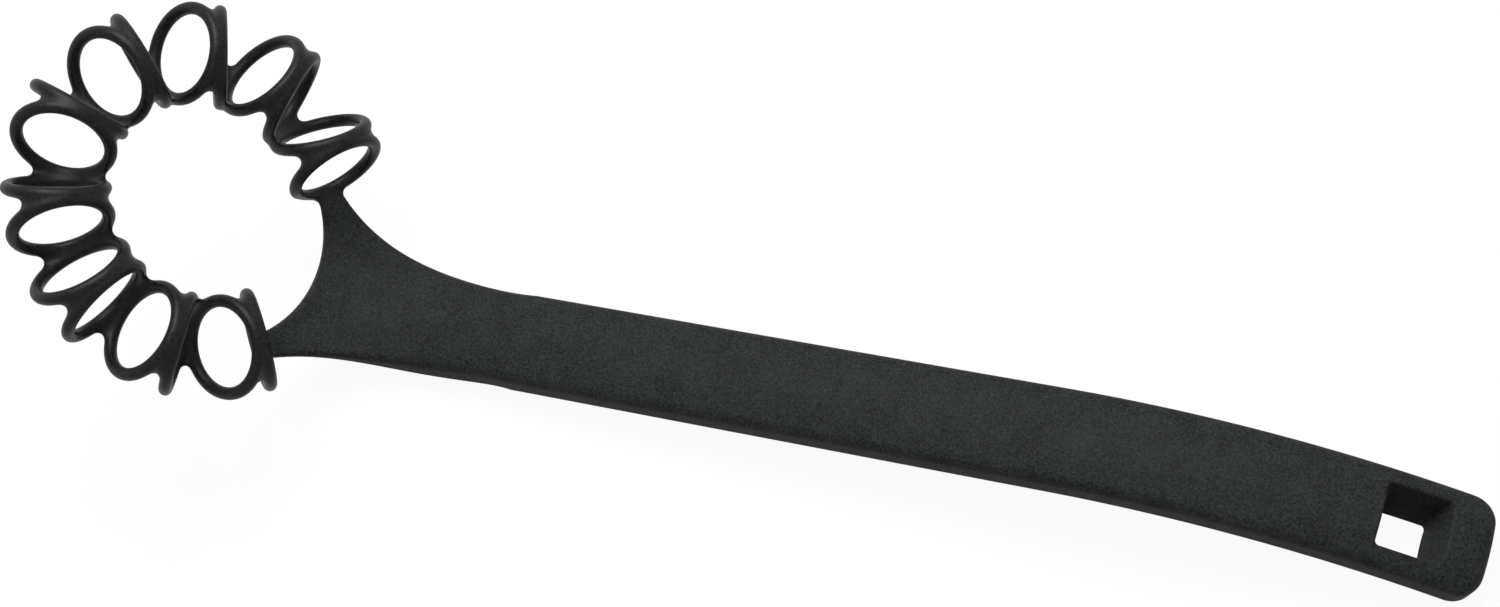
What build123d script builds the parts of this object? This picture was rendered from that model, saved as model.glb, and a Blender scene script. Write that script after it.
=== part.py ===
from build123d import *
from math import atan2, cos, degrees, hypot, radians, sin
import os

# Dough whisk: one moulding of black nylon, parted here into its working zones.
# The zones meet face to face on flat parting planes.
# The tool is drawn in the head's own frame, in millimetres: the head's axis is Z, its rings are centred
# on the XY plane, and the handle leaves towards +X. At the end every piece is turned to lie on a table.
# The XZ plane is its plane of symmetry.

# Rings of the head
pair_count = 9              # rings stand in pairs that lean together at the top
pair_step = 32.55           # degrees from one pair to the next, round the head
ring_radius = 9.7           # to the middle of the ring's round bar
bar_radius = 1.4
ring_lean = 20              # degrees that each ring leans towards its partner
ridge_bite = 0.86           # how far a bar crosses the plane between the two rings of a pair
valley_bite = 0.6           # how far a bar crosses the plane between neighbouring pairs

# Yoke: two arms that join under the last rings and run into the bent neck.
# Its places are measured from the foot of the last ring, the ring's lowest point.
arm_thickness = 3.1
arm_root_overhang = 7.0     # how far each arm reaches sideways past the foot, where it starts
arm_root_setback = 2.0      # from that place to the start of the neck's bend
arm_overhang = 1.2          # the same sideways reach close behind the last rings
arm_run = 6.0               # from the start of the bend to that place
bore_reach = 5.9            # from the foot to the middle of the yoke's hollow edge, towards the grip
bore_inset = 2.55           # from the foot to the hollow edge beside it, towards the head
bore_edge_radius = 0.9      # rounding of the hollow edge
foot_to_bend = 1.7          # from the start of the neck's bend to the foot, towards the grip
bend_radius = 50.5
bend_angle = 51.2           # degrees from the head's plane to the grip
throat_half_width = 15.8
throat_thickness = 4.6
throat_angle = 16.5         # place on the bend, in degrees
neck_half_width = 12.5
neck_thickness = 7.8
neck_angle = 30.0
neck_run_out = 12.0         # straight length that eases the neck into the grip

# Handle: constant section, straight and then gently arched
grip_half_width = 10.45
grip_thickness = 10.5
straight_length = 131.3
crest_radius = 192.0
crest_angle = 25.05         # degrees of arch, up to the handle's end
end_length = 40.0           # the last stretch of the arch, which carries the hang hole
end_corner_radius = 5.2
crown_share = 0.21          # of a section's thickness, how far each broad face bulges
edge_round_share = 0.85     # of a section's side height, the radius that rounds each edge

# Hang hole: a rectangle that narrows downwards
hole_length = 13.2          # along the handle, at the upper face
hole_width = 14.0           # across the handle, at the upper face
hole_end_wall = 8.2         # from the hole to the handle's end, at the upper face
hole_length_taper = 2.0     # each end wall comes in by this much at the lower face
hole_width_taper = 3.8      # and each side wall by this much
hole_shift = 1.5            # the lower rim lies this much nearer the head
hole_corner_radius = 0.9
hole_rim_radius = 0.6
overrun = 2.0               # how far every cutting shape passes the faces that it cuts

# Rest on a table
tilt_steps = 4              # corrections of the tilt until both ends touch

# Head, worked out: the rings stand as close to the axis as their bites allow
half_step = pair_step / 2
lean_reach = ring_radius * sin(radians(ring_lean))
ridge_gap = bar_radius - ridge_bite
valley_gap = bar_radius - valley_bite
half_spacing = ridge_gap + lean_reach
valley_reach = hypot(ring_radius * sin(radians(half_step)), lean_reach * cos(radians(half_step)))
head_radius = (valley_gap + half_spacing * cos(radians(half_step)) + valley_reach) / sin(radians(half_step))
arm_level = -ring_radius * cos(radians(ring_lean))
crest_end_angle = bend_angle - crest_angle
end_sweep = degrees(end_length / crest_radius)
end_joint_angle = crest_end_angle + end_sweep

ring_count = 2 * pair_count
last_pair = pair_count - 1


def along(angle):
    """Direction in the XZ plane that climbs at this angle from the head's plane."""
    return Vector(cos(radians(angle)), 0, sin(radians(angle)))


def across(angle):
    """Direction in the XZ plane that stands square to along(angle), towards the upper face."""
    return Vector(-sin(radians(angle)), 0, cos(radians(angle)))


def section_plane(point, angle):
    """Plane square to the handle: its x runs across the tool and its y towards the upper face."""
    return Plane(origin=point, x_dir=(0, 1, 0), z_dir=along(angle))


def pair_plane(pair):
    """Upright plane frame of one pair: x points from the head's axis to the pair, z up."""
    angle = 180 + ((pair_count - 1) / 2 - pair) * pair_step
    return Plane(origin=(0, 0, 0), x_dir=(cos(radians(angle)), sin(radians(angle)), 0), z_dir=(0, 0, 1))


def ring_plane(pair, side):
    """Plane in which one ring lies. side is 1 for the ring nearer ring_01, -1 for its partner."""
    frame = pair_plane(pair)
    centre = frame.from_local_coords((head_radius, side * half_spacing, 0))
    normal = frame.y_dir * cos(radians(ring_lean)) + frame.z_dir * side * sin(radians(ring_lean))
    return Plane(origin=centre, x_dir=frame.x_dir, z_dir=normal)


def ridge_plane(pair, side):
    """Plane between the two rings of a pair, facing the ring on this side."""
    frame = pair_plane(pair)
    return Plane(origin=(0, 0, 0), x_dir=frame.x_dir, z_dir=frame.y_dir * side)


def valley_plane(pair, side):
    """Plane between this pair and the next one on this side, facing the pair."""
    frame = pair_plane(pair)
    away = frame.x_dir * sin(radians(half_step)) - frame.y_dir * side * cos(radians(half_step))
    return Plane(origin=(0, 0, 0), x_dir=(0, 0, 1), z_dir=away)


# Foot of the last ring, and the yoke's places beside it
foot = pair_plane(last_pair).from_local_coords((head_radius, -half_spacing - lean_reach, 0))
bend_start = foot.X - foot_to_bend
arm_root_half_width = foot.Y + arm_root_overhang
arm_half_width = foot.Y + arm_overhang
bore_depth = bore_reach + bore_inset
bore_radius = (foot.Y**2 + bore_depth**2) / (2 * bore_depth)

# Centre line of the yoke and the handle, in the XZ plane
bend_centre = Vector(bend_start, 0, arm_level + bend_radius)
bend_end = bend_centre - across(bend_angle) * bend_radius
grip_start = bend_end + along(bend_angle) * neck_run_out
crest_start = bend_end + along(bend_angle) * straight_length
crest_centre = crest_start - across(bend_angle) * crest_radius
end_joint = crest_centre + across(end_joint_angle) * crest_radius
handle_end = crest_centre + across(crest_end_angle) * crest_radius


def side_height(thickness):
    """Half the height of a section's flat side, between its two bulging faces."""
    return thickness * (0.5 - crown_share)


def bar_section(plane, half_width, thickness, rounded=True):
    """Outline with two bulging faces, square to the handle, with its corners rounded or sharp."""
    side = side_height(thickness)
    with BuildSketch(plane) as outline:
        with BuildLine():
            ThreePointArc((-half_width, side), (0, thickness / 2), (half_width, side))
            Line((half_width, side), (half_width, -side))
            ThreePointArc((half_width, -side), (0, -thickness / 2), (-half_width, -side))
            Line((-half_width, -side), (-half_width, side))
        make_face()
        if rounded:
            fillet(outline.vertices(), side * edge_round_share)
    return outline.sketch


def bend_section(angle, half_width, thickness):
    """Section of the yoke or neck at one angle of the bend."""
    return bar_section(section_plane(bend_centre - across(angle) * bend_radius, angle), half_width, thickness)


# Yoke blank: one loft from wide thin arms to the grip's section, with its inner edge cut hollow
arm_root = Vector(bend_start - arm_root_setback, 0, arm_level)
arm_angle = degrees(arm_run / bend_radius)
bore_axis = Plane(origin=(foot.X + bore_reach - bore_radius, 0, arm_level))
with BuildPart() as yoke_blank:
    loft([
        bar_section(section_plane(arm_root, 0), arm_root_half_width, arm_thickness),
        bend_section(arm_angle, arm_half_width, arm_thickness),
        bend_section(throat_angle, throat_half_width, throat_thickness),
        bend_section(neck_angle, neck_half_width, neck_thickness),
        bend_section(bend_angle, grip_half_width, grip_thickness),
        bar_section(section_plane(grip_start, bend_angle), grip_half_width, grip_thickness),
    ])
    with BuildSketch(bore_axis) as bore:
        Circle(bore_radius)
    extrude(amount=throat_thickness + overrun, both=True, mode=Mode.SUBTRACT)
    hollow_edges = yoke_blank.faces().filter_by(GeomType.CYLINDER).edges()
    fillet(hollow_edges.filter_by(lambda edge: edge.length > bore_radius), bore_edge_radius)

# Yoke: the crescent between the two end rings, up to the throat
throat_plane = section_plane(bend_centre - across(throat_angle) * bend_radius, throat_angle)
with BuildPart() as yoke:
    add(yoke_blank.part)
    split(bisect_by=-throat_plane, keep=Keep.TOP)
    split(bisect_by=-valley_plane(0, 1), keep=Keep.TOP)
    split(bisect_by=-valley_plane(last_pair, -1), keep=Keep.TOP)

# Neck: the bend from the throat to the grip
with BuildPart() as neck:
    add(yoke_blank.part)
    split(bisect_by=throat_plane, keep=Keep.TOP)

# Grip: constant section, straight and then arched
with BuildPart() as grip:
    with BuildLine() as grip_line:
        Line(grip_start, crest_start)
        ThreePointArc(
            crest_start,
            crest_centre + across((bend_angle + end_joint_angle) / 2) * crest_radius,
            end_joint,
        )
    sweep(
        sections=bar_section(section_plane(grip_start, bend_angle), grip_half_width, grip_thickness),
        path=grip_line.wires()[0],
    )

# Hanging end: the last of the arch, with rounded corners and the hang hole
end_frame = Plane(origin=handle_end, x_dir=-along(crest_end_angle), z_dir=across(crest_end_angle))
hole_angle = crest_end_angle + degrees((hole_end_wall + hole_length / 2) / crest_radius)
hole_centre = crest_centre + across(hole_angle) * crest_radius
hole_frame = Plane(origin=hole_centre, x_dir=-along(hole_angle), z_dir=across(hole_angle))


def hole_outline(depth):
    """Outline of the hang hole at this depth below the middle of the upper face."""
    share = depth / grip_thickness
    with BuildSketch(hole_frame.offset(grip_thickness / 2 - depth)) as outline:
        with Locations((hole_shift * share, 0)):
            RectangleRounded(
                hole_length - 2 * hole_length_taper * share,
                hole_width - 2 * hole_width_taper * share,
                hole_corner_radius,
            )
    return outline.sketch


with BuildPart() as hanging_end:
    with BuildLine() as end_line:
        ThreePointArc(
            end_joint,
            crest_centre + across((end_joint_angle + crest_end_angle) / 2) * crest_radius,
            handle_end,
        )
    joint_plane = section_plane(end_joint, end_joint_angle)
    sweep(
        sections=bar_section(joint_plane, grip_half_width, grip_thickness, rounded=False),
        path=end_line.wires()[0],
    )
    upright = Axis((0, 0, 0), end_frame.z_dir)
    fillet(hanging_end.edges().filter_by(upright), end_corner_radius)
    broad_faces = hanging_end.faces().sort_by(upright)
    rim = (broad_faces[0].edges() + broad_faces[-1].edges()).filter_by(
        lambda edge: joint_plane.to_local_coords(edge.center()).Z > grip_half_width / 2
    )
    fillet(rim, side_height(grip_thickness) * edge_round_share)
    loft([hole_outline(-overrun), hole_outline(grip_thickness + overrun)], mode=Mode.SUBTRACT)
    hole_rim = hanging_end.edges(Select.LAST).filter_by(GeomType.LINE, reverse=True)
    fillet(hole_rim, hole_rim_radius)


# Arm tip: the end of one arm, which passes under the last ring and belongs to it
with BuildPart() as arm_tip:
    add(yoke_blank.part)
    split(bisect_by=valley_plane(last_pair, -1), keep=Keep.TOP)
    split(bisect_by=-ring_plane(last_pair, -1), keep=Keep.TOP)

# Rings: each is a round bar bent into a circle, cut flat where it leans on its partner and its neighbour.
# The rings on the other side of the tool are mirror images, down to ring_01.
pieces = {"yoke": yoke.part, "neck": neck.part, "grip": grip.part, "hanging_end": hanging_end.part}
for number in range(pair_count + 1, ring_count + 1):
    pair = (number - 1) // 2
    side = 1 if number % 2 else -1
    with BuildPart(ring_plane(pair, side)) as loop:
        Torus(ring_radius, bar_radius)
    with BuildPart() as ring:
        add(loop.part)
        split(bisect_by=ridge_plane(pair, side), keep=Keep.TOP)
        split(bisect_by=valley_plane(pair, side), keep=Keep.TOP)
        if number == ring_count:
            add(arm_tip.part)
    with BuildPart() as twin:
        mirror(ring.part, about=Plane.XZ)
    pieces[f"ring_{number:02d}"] = ring.part
    pieces[f"ring_{ring_count + 1 - number:02d}"] = twin.part


def level_plane(angle):
    """Plane through the head's centre that lies level when the tool rests with this tilt."""
    return Plane(origin=(0, 0, 0), x_dir=along(angle), z_dir=across(angle))


def resting_box(name, angle):
    """Bounding box of one piece when the tool rests with this tilt."""
    return level_plane(angle).to_local_coords(pieces[name]).bounding_box(optimal=True)


# Rest: the tilt at which the neck's bend and the hanging end both touch the table
rest_angle = degrees(atan2(handle_end.Z - bend_end.Z, handle_end.X - bend_end.X))
for _ in range(tilt_steps):
    height_left = resting_box("hanging_end", rest_angle).min.Z - resting_box("neck", rest_angle).min.Z
    rest_angle += degrees(height_left / (handle_end - bend_end).length)
boxes = [resting_box(name, rest_angle) for name in pieces]
left = min(box.min.X for box in boxes)
right = max(box.max.X for box in boxes)
table_level = min(box.min.Z for box in boxes)
table_middle = level_plane(rest_angle).from_local_coords(Vector((left + right) / 2, 0, table_level))
table = Plane(origin=table_middle, x_dir=along(rest_angle), z_dir=across(rest_angle))

os.makedirs("parts", exist_ok=True)
for name, piece in pieces.items():
    placed = table.to_local_coords(piece)
    placed.label = name
    export_step(placed, f"parts/{name}.step")
print(f"tilt {rest_angle:.2f} degrees, length {right - left:.1f} mm")
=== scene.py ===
from math import cos, floor, pi, radians, sin

import bmesh
import bpy
import numpy as np
from mathutils import Matrix, Vector
from mathutils.bvhtree import BVHTree
from mathutils.interpolate import poly_3d_calc


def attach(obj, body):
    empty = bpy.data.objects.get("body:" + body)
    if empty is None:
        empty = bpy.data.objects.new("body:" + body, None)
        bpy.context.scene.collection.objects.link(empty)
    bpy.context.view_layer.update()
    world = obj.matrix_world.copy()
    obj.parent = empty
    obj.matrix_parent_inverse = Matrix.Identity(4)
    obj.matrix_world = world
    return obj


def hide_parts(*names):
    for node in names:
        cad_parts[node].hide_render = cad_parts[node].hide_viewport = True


# Dough whisk: one moulding of charcoal-black nylon, lying on a white table.
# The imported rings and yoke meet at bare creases. A skin over them fills the creases with the small
# fillets of the real moulding, and is parted again into the same rings and yoke. Lengths are in metres.

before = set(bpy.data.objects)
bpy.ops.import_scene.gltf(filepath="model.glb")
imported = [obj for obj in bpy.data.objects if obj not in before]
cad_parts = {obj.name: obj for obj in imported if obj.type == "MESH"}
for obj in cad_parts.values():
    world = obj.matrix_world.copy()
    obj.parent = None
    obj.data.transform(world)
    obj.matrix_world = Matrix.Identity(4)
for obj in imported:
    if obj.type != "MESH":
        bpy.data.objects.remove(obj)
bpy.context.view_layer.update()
MM = 0.001

# The head, as it stands in the row's frame
PAIR_COUNT = 9
PAIR_STEP = radians(32.55)
HEAD_CENTRE = Vector((-116.402, 0, 44.516)) * MM
HEAD_TILT = radians(46.639)
THROAT_PLACE = Vector((38.138, 0, -7.035)) * MM    # on the bend, in the head's own frame
THROAT_ANGLE = radians(16.5)

# The skin over the rings and the yoke
SKIN_VOXEL = 0.25 * MM          # spacing of the skin's points
MERGE_REACH = SKIN_VOXEL / 100  # points nearer than this are one
FILLET_RADIUS = 1.1 * MM        # of the creases where bars merge
INWARD_STEPS = 3                # the swollen skin is drawn back in this many steps
SMOOTHING_PASSES = 4            # after each remesh, so that a sharp crease doesn't fold as it moves
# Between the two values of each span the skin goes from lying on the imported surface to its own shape:
SNAP_SPAN = (0.05 * MM, 0.12 * MM)      # by its distance from that surface
TURN_SPAN = (radians(5), radians(12))   # by the angle between the two
YOKE_SPAN = (8 * MM, 14 * MM)           # by the distance from the throat, past which the bars begin
ON_PLANE = 0.01 * MM            # how near a parting plane a cap's middle lies
ALIGNED = 1e-4                  # how far from 1 the product of two parallel directions may be
CUT_REACH = 2.0 * MM            # skin this near a parting plane is offered to the cut

# Camera: the photograph's, worked back from the rings and the handle
CAMERA_PLACE = Vector((180.72, -210.01, 504.78)) * MM
CAMERA_RIGHT = Vector((0.9256, 0.3179, -0.2057))
CAMERA_UP = Vector((-0.1916, 0.8617, 0.4699))
CAMERA_LENS = 66.46             # millimetres, on a 36 mm sensor

# Table and lights
FLOOR_SIZE = 4.0
FLOOR_LEVEL = -0.3 * MM
FLOOR_WHITE_SHARE = 0.94        # of the table as the camera sees it; the rest keeps the shadow
SKY_LIGHT = 0.35                # what the sky gives the object, where a strength of 1 is white
BACK_LIGHT_PLACE = (-0.12, 0.3, 0.86)
BACK_LIGHT_TARGET = (0, 0, 0.03)
BACK_LIGHT_SIZE = 0.6
BACK_LIGHT_POWER = 10.0         # watts
NEAR_CLIP = 0.01

# Moulded nylon
NYLON_IOR = 1.53
MOTTLE_SHARE = 0.18             # of the wide mottling in the colour; the rest is the fine grain


def srgb(code):
    """Linear colour from an sRGB hex code."""
    channels = [int(code[i:i + 2], 16) / 255 for i in (1, 3, 5)]
    linear = [c / 12.92 if c <= 0.04045 else ((c + 0.055) / 1.055) ** 2.4 for c in channels]
    return (*linear, 1.0)


def add_node(owner, kind, settings=None, links=None):
    """A shader node of a material or the sky, with its settings and the sockets that feed it."""
    tree = owner.node_tree
    node = tree.nodes.new(kind)
    for name, value in (settings or {}).items():
        if isinstance(name, str) and hasattr(node, name):
            setattr(node, name, value)
        else:
            node.inputs[name].default_value = value
    for name, source in (links or {}).items():
        tree.links.new(source, node.inputs[name])
    return node


def new_material(name):
    """An empty node material."""
    material = bpy.data.materials.new(name)
    material.use_nodes = True
    material.node_tree.nodes.clear()
    return material


def colour_ramp(material, source, stops):
    """A colour ramp with these (place, sRGB code) stops."""
    node = add_node(material, "ShaderNodeValToRGB", links={"Fac": source})
    elements = node.color_ramp.elements
    while len(elements) < len(stops):
        elements.new(0.5)
    for element, (place, code) in zip(elements, stops):
        element.position = place
        element.color = srgb(code)
    return node.outputs["Color"]


def moulded_nylon(name, grain, speckle, relief, roughness, gloss, mottle_size):
    """Injection-moulded nylon, whose colour follows the mould's grain, with faint wider mottling."""
    material = new_material(name)
    place = add_node(material, "ShaderNodeTexCoord").outputs["Object"]
    fine = add_node(
        material, "ShaderNodeTexNoise",
        {"Scale": 1 / grain, "Detail": 3.0, "Roughness": 0.6},
        {"Vector": place},
    ).outputs["Fac"]
    wide = add_node(
        material, "ShaderNodeTexNoise",
        {"Scale": 1 / mottle_size, "Detail": 2.0, "Roughness": 0.5},
        {"Vector": place},
    ).outputs["Fac"]
    tone = add_node(
        material, "ShaderNodeMix",
        {"data_type": "FLOAT", "Factor": MOTTLE_SHARE},
        {"A": fine, "B": wide},
    ).outputs["Result"]
    colour = colour_ramp(material, tone, speckle)
    rough = add_node(
        material, "ShaderNodeMapRange",
        {"From Min": 0.3, "From Max": 0.7, "To Min": roughness[0], "To Max": roughness[1]},
        {"Value": fine},
    ).outputs["Result"]
    bump = add_node(
        material, "ShaderNodeBump",
        {"Strength": 1.0, "Distance": relief},
        {"Height": fine},
    ).outputs["Normal"]
    shader = add_node(
        material, "ShaderNodeBsdfPrincipled",
        {"IOR": NYLON_IOR, "Specular IOR Level": gloss},
        {"Base Color": colour, "Roughness": rough, "Normal": bump},
    )
    add_node(material, "ShaderNodeOutputMaterial", links={"Surface": shader.outputs["BSDF"]})
    return material


# Spark-grained nylon: the mould's eroded face leaves a fine matte speckle on the handle and the yoke.
# The grain is drawn half a millimetre wide, so that it shows at the photograph's size.
grained_nylon = moulded_nylon(
    "spark_grained_black_nylon",
    grain=0.5 * MM,
    speckle=((0.34, "#0b0c0c"), (0.66, "#303332")),
    relief=0.05 * MM,
    roughness=(0.56, 0.7),
    gloss=0.07,
    mottle_size=6 * MM,
)
# Polished-mould nylon: the rings come from smooth cavities and keep a soft sheen.
smooth_nylon = moulded_nylon(
    "smooth_black_nylon",
    grain=0.6 * MM,
    speckle=((0.36, "#030303"), (0.64, "#1a1c1b")),
    relief=0.04 * MM,
    roughness=(0.34, 0.5),
    gloss=0.14,
    mottle_size=4 * MM,
)


# The head's own frame: x towards the grip, z along the head's axis
head_place = Matrix.Translation(HEAD_CENTRE) @ Matrix.Rotation(HEAD_TILT, 4, "Y")
head_local = head_place.inverted()
half_step = PAIR_STEP / 2
ring_names = [f"ring_{number:02d}" for number in range(1, 2 * PAIR_COUNT + 1)]


def ray_plane(ray):
    """Point, normal and outward direction of the parting plane that lies after this many rings."""
    angle = pi + (PAIR_COUNT - ray) * half_step
    turned = head_place.to_3x3()
    normal = turned @ Vector((-sin(angle), cos(angle), 0))
    outward = turned @ Vector((cos(angle), sin(angle), 0))
    return HEAD_CENTRE, normal, outward


ring_planes = [ray_plane(ray) for ray in range(2 * PAIR_COUNT + 1)]
throat_normal = head_place.to_3x3() @ Vector((cos(THROAT_ANGLE), 0, sin(THROAT_ANGLE)))
throat_plane = (head_place @ THROAT_PLACE, throat_normal, throat_normal)


def on_parting_plane(face):
    """Whether a face of a packed zone is one of its flat caps."""
    for point, normal, outward in ring_planes + [throat_plane]:
        if abs(abs(face.normal.dot(normal)) - 1) < ALIGNED:
            if abs((face.calc_center_median() - point).dot(normal)) < ON_PLANE:
                return True
    return False


def merged_copy(names):
    """One bmesh of these packed zones, each with its doubles merged."""
    joined = bmesh.new()
    for name in names:
        joined.from_mesh(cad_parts[name].data)
    bmesh.ops.remove_doubles(joined, verts=joined.verts, dist=MERGE_REACH)
    return joined


def new_object(name, shape):
    """An object from a bmesh, at the origin."""
    mesh = bpy.data.meshes.new(name)
    shape.to_mesh(mesh)
    shape.free()
    piece = bpy.data.objects.new(name, mesh)
    bpy.context.scene.collection.objects.link(piece)
    return piece


def filled_skin(names):
    """A closed skin over these zones, swollen and drawn back so that each crease fills to the fillet."""
    skin = new_object("skin", merged_copy(names))
    for share in [0, 1] + [-1 / INWARD_STEPS] * INWARD_STEPS:
        if share:
            offset = skin.modifiers.new("offset", "DISPLACE")
            offset.strength = share * FILLET_RADIUS
            offset.mid_level = 0
        remesh = skin.modifiers.new("remesh", "REMESH")
        remesh.mode = "VOXEL"
        remesh.voxel_size = SKIN_VOXEL
        smooth = skin.modifiers.new("smooth", "SMOOTH")
        smooth.iterations = SMOOTHING_PASSES
    shape = bmesh.new()
    shape.from_object(skin, bpy.context.evaluated_depsgraph_get())
    bpy.data.objects.remove(skin)
    return shape


class PackedSurface:
    """The outer surface of some packed zones, without their caps, with its smooth normals."""

    def __init__(self, names):
        self.points = []
        self.normals = []
        faces = []
        for name in names:
            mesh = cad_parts[name].data
            shape = bmesh.new()
            shape.from_mesh(mesh)
            caps = {face.index for face in shape.faces if on_parting_plane(face)}
            shape.free()
            for polygon in mesh.polygons:
                if polygon.index in caps:
                    continue
                start = len(self.points)
                for loop in polygon.loop_indices:
                    self.points.append(mesh.vertices[mesh.loops[loop].vertex_index].co.copy())
                    self.normals.append(mesh.corner_normals[loop].vector.copy())
                faces.append(tuple(range(start, len(self.points))))
        self.faces = faces
        self.tree = BVHTree.FromPolygons(self.points, faces)

    def nearest(self, point):
        """Nearest point of the surface, its smooth normal and its distance."""
        place, flat, index, distance = self.tree.find_nearest(point)
        corners = self.faces[index]
        shares = poly_3d_calc([self.points[c] for c in corners], place)
        normal = sum((self.normals[c] * share for c, share in zip(corners, shares)), Vector())
        return place, normal.normalized(), distance


def eased(value, span):
    """0 below the span, 1 above it, with a smooth rise between."""
    share = min(max((value - span[0]) / (span[1] - span[0]), 0), 1)
    return share * share * (3 - 2 * share)


def settle(shape, surface):
    """Lays the yoke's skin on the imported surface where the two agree, and keeps each point's normal."""
    shape.normal_update()
    layer = shape.verts.layers.float_vector.new("skin_normal")
    for vert in shape.verts:
        vert[layer] = vert.normal
        apart = eased((throat_plane[0] - vert.co).dot(throat_plane[1]), YOKE_SPAN)
        if apart == 1:
            continue
        place, normal, distance = surface.nearest(vert.co)
        free = max(apart, eased(distance, SNAP_SPAN), eased(normal.angle(vert.normal), TURN_SPAN))
        vert[layer] = normal.lerp(vert.normal, free).normalized()
        vert.co = place.lerp(vert.co, free)


def part(shape, planes):
    """Cuts the skin along each parting plane, only on the plane's outward side."""
    for point, normal, outward in planes:
        faces = []
        for face in shape.faces:
            away = face.calc_center_median() - point
            if abs(away.dot(normal)) < CUT_REACH and away.dot(outward) > -CUT_REACH:
                faces.append(face)
        edges = {edge for face in faces for edge in face.edges}
        verts = {vert for face in faces for vert in face.verts}
        bmesh.ops.bisect_plane(
            shape, geom=faces + list(edges) + list(verts), dist=MERGE_REACH,
            plane_co=point, plane_no=normal,
        )


def zone_of(face):
    """Name of the zone that a face of the parted skin belongs to."""
    centre = face.calc_center_median()
    if (centre - throat_plane[0]).dot(throat_plane[1]) > 0:
        return "neck"
    x, y, z = head_local @ centre
    angle = (np.arctan2(y, x)) % (2 * pi)
    ray = floor(PAIR_COUNT - (angle - pi) / half_step)
    return ring_names[ray] if 0 <= ray < len(ring_names) else "yoke"


def zone_piece(shape, faces, node, material):
    """One zone of the skin, its cuts capped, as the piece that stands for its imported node."""
    kept = {face.index for face in faces}
    zone = shape.copy()
    zone.faces.index_update()
    other_faces = [face for face in zone.faces if face.index not in kept]
    bmesh.ops.delete(zone, geom=other_faces, context="FACES")
    open_edges = [edge for edge in zone.edges if edge.is_boundary]
    caps = bmesh.ops.holes_fill(zone, edges=open_edges)["faces"]
    zone.faces.index_update()
    first_cap = len(zone.faces) - len(caps)
    bmesh.ops.triangulate(zone, faces=caps)
    piece = new_object(node + "_skin", zone)
    mesh = piece.data
    normals = np.zeros(len(mesh.vertices) * 3, np.float32)
    mesh.attributes["skin_normal"].data.foreach_get("vector", normals)
    mesh.attributes.remove(mesh.attributes["skin_normal"])
    normals = normals.reshape(-1, 3)
    corners = np.zeros(len(mesh.loops), np.int32)
    mesh.loops.foreach_get("vertex_index", corners)
    corner_normals = normals[corners]
    for polygon in mesh.polygons[first_cap:]:
        corner_normals[list(polygon.loop_indices)] = polygon.normal
    mesh.normals_split_custom_set(corner_normals.tolist())
    mesh.materials.append(material)
    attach(piece, "root")
    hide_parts(node)


head_zones = ring_names + ["yoke", "neck"]
skin = filled_skin(head_zones)
settle(skin, PackedSurface(head_zones))
part(skin, ring_planes + [throat_plane])
skin.faces.index_update()
zones = {}
for face in skin.faces:
    zones.setdefault(zone_of(face), []).append(face)
for name in ring_names:
    zone_piece(skin, zones[name], name, smooth_nylon)
zone_piece(skin, zones["yoke"], "yoke", grained_nylon)
skin.free()

for name in ("neck", "grip", "hanging_end"):
    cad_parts[name].data.materials[0] = grained_nylon


def seen_rays(owner):
    """1 for a ray that the camera, a gloss or a clear body sends out, 0 for one that carries light."""
    rays = add_node(owner, "ShaderNodeLightPath").outputs
    seen = rays["Is Camera Ray"]
    for kind in ("Is Glossy Ray", "Is Transmission Ray"):
        either = add_node(owner, "ShaderNodeMath", {"operation": "MAXIMUM"}, {0: seen, 1: rays[kind]})
        seen = either.outputs["Value"]
    return seen


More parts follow.
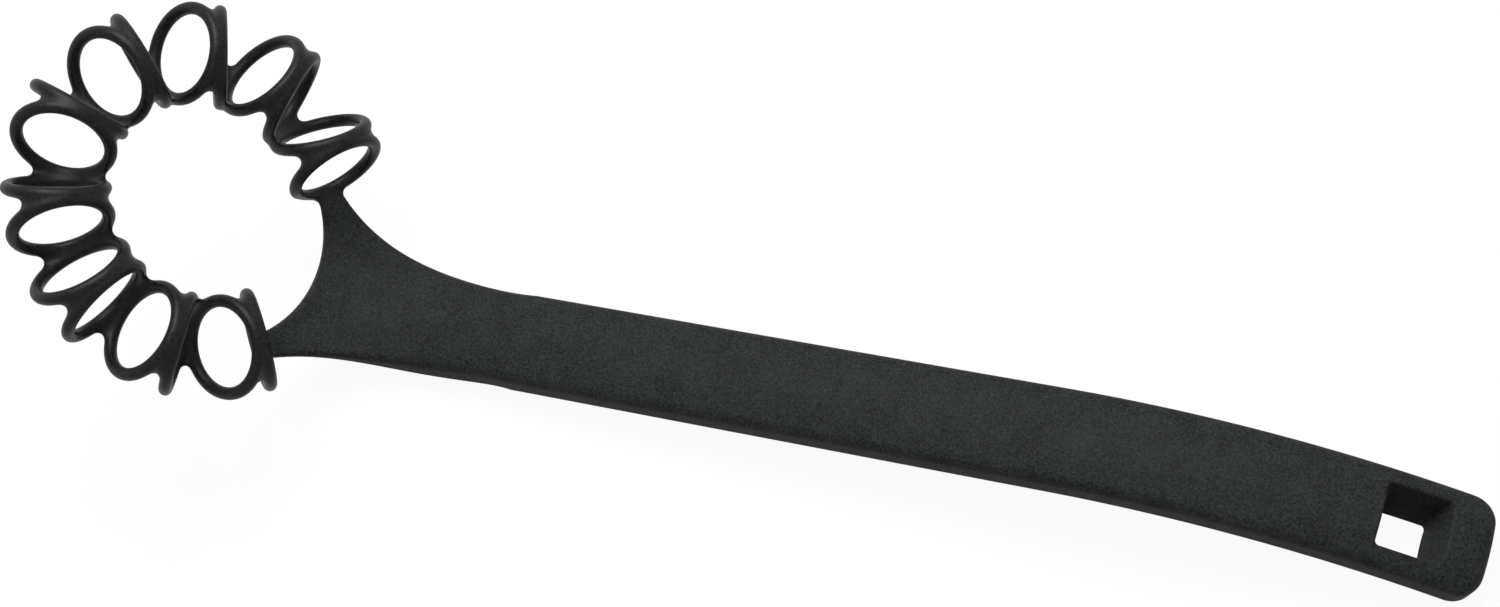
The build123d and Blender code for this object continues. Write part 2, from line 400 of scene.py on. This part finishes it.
def white_to_camera(name, code, share):
    """A pale matt material that the camera sees as white for this share, with a faint shadow in the rest."""
    material = new_material(name)
    matt = add_node(material, "ShaderNodeBsdfDiffuse", {"Color": srgb(code)}).outputs["BSDF"]
    white = {"Color": srgb("#ffffff"), "Strength": 1.0}
    glow = add_node(material, "ShaderNodeEmission", white).outputs["Emission"]
    scaled = {"operation": "MULTIPLY", 1: share}
    part_seen = add_node(material, "ShaderNodeMath", scaled, {0: seen_rays(material)}).outputs["Value"]
    mixed = add_node(material, "ShaderNodeMixShader", links={0: part_seen, 1: matt, 2: glow})
    add_node(material, "ShaderNodeOutputMaterial", links={"Surface": mixed.outputs["Shader"]})
    return material


def table_top():
    """The white table."""
    shape = bmesh.new()
    bmesh.ops.create_grid(
        shape, x_segments=1, y_segments=1, size=FLOOR_SIZE / 2,
        matrix=Matrix.Translation((0, 0, FLOOR_LEVEL)),
    )
    top = new_object("table_top", shape)
    top.data.materials.append(white_to_camera("white_table", "#f2f2f0", FLOOR_WHITE_SHARE))


def area_light(name, place, target, size, power):
    """A soft square light that faces a target."""
    data = bpy.data.lights.new(name, "AREA")
    data.shape = "SQUARE"
    data.size = size
    data.energy = power
    light = bpy.data.objects.new(name, data)
    light.location = place
    light.rotation_euler = (Vector(target) - Vector(place)).to_track_quat("-Z", "Y").to_euler()
    bpy.context.scene.collection.objects.link(light)


def studio():
    """The table, the light and the sky."""
    table_top()
    area_light("back_light", BACK_LIGHT_PLACE, BACK_LIGHT_TARGET, BACK_LIGHT_SIZE, BACK_LIGHT_POWER)
    world = bpy.data.worlds.new("studio_sky")
    world.use_nodes = True
    world.node_tree.nodes.clear()
    bpy.context.scene.world = world
    white = srgb("#ffffff")
    levels = []
    for strength in (SKY_LIGHT, 1.0):
        level = add_node(world, "ShaderNodeBackground", {"Color": white, "Strength": strength})
        levels.append(level.outputs["Background"])
    mixed = add_node(world, "ShaderNodeMixShader", links={0: seen_rays(world), 1: levels[0], 2: levels[1]})
    add_node(world, "ShaderNodeOutputWorld", links={"Surface": mixed.outputs["Shader"]})


def photo_camera():
    """The camera at the photograph's place."""
    data = bpy.data.cameras.new("photo_camera")
    data.lens = CAMERA_LENS
    data.clip_start = NEAR_CLIP
    camera = bpy.data.objects.new("photo_camera", data)
    back = CAMERA_RIGHT.cross(CAMERA_UP)
    turn = Matrix((CAMERA_RIGHT, CAMERA_UP, back)).transposed()
    camera.matrix_world = Matrix.Translation(CAMERA_PLACE) @ turn.to_4x4()
    bpy.context.scene.collection.objects.link(camera)
    bpy.context.scene.camera = camera


studio()
photo_camera()
bpy.context.scene.view_settings.view_transform = "Standard"
